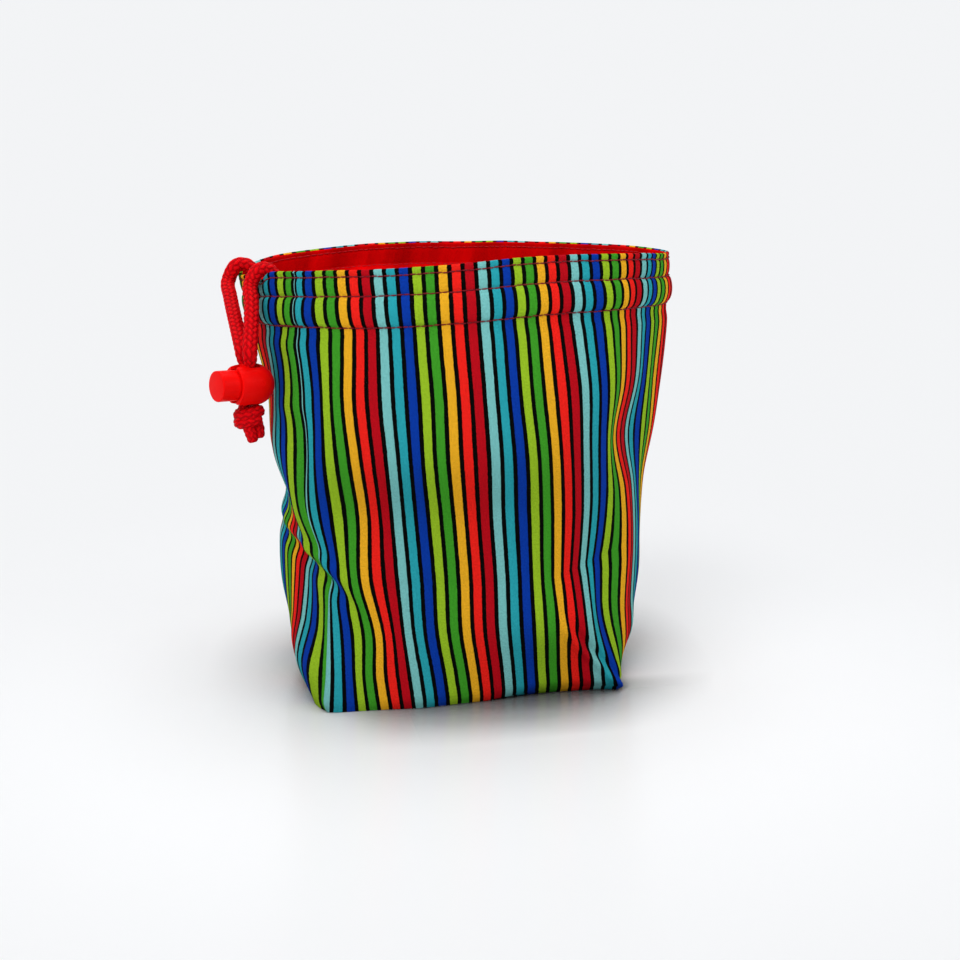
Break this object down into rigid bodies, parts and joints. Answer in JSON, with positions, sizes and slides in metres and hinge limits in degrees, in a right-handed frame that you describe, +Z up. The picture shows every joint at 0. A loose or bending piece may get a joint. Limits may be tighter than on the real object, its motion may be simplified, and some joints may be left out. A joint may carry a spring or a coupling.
{
  "type": "drawstring pouch",
  "caption": "Boxed-bottom drawstring pouch of striped cotton with a plain lining, a drawcord in a sewn channel, a spring cord lock and a stopper knot.",
  "frame": {"origin": "on the floor, under the middle of the pouch's flat base", "axes": "+Z up out of the mouth, +X along the base's front edge to the viewer's right, +Y from the front panel to the back"},
  "size_m": [0.2216, 0.1603, 0.2037],
  "materials": {
    "striped_cotton": "woven, printed stripes",
    "lining_cotton": "woven, plain",
    "braided_cord": "braided",
    "lock_plastic": "satin",
    "spring_steel": "drawn wire"
  },
  "bodies": {
    "bag": {"outer_bag": "striped_cotton", "lining": "lining_cotton", "drawcord_in_channel": "braided_cord", "cord_run_left": "braided_cord", "cord_run_right": "braided_cord", "stopper_knot": "braided_cord"},
    "lock": {"lock_housing": "lock_plastic", "lock_spring": "spring_steel"},
    "plunger": {"lock_plunger": "lock_plastic"}
  },
  "joints": [
    {"name": "lock_slide", "type": "slide", "parent": "bag", "child": "lock", "axis": [-0.22, 0, 0.9755], "range_m": [0, 0.025], "deforming": ["cord_run_left", "cord_run_right"]},
    {"name": "plunger_press", "type": "slide", "parent": "lock", "child": "plunger", "axis": [0.8798, 0.4716, -0.0599], "range_m": [0, 0.003], "stiffness_N_per_m": 700, "springref_m": -0.004, "deforming": ["lock_spring"]}
  ]
}
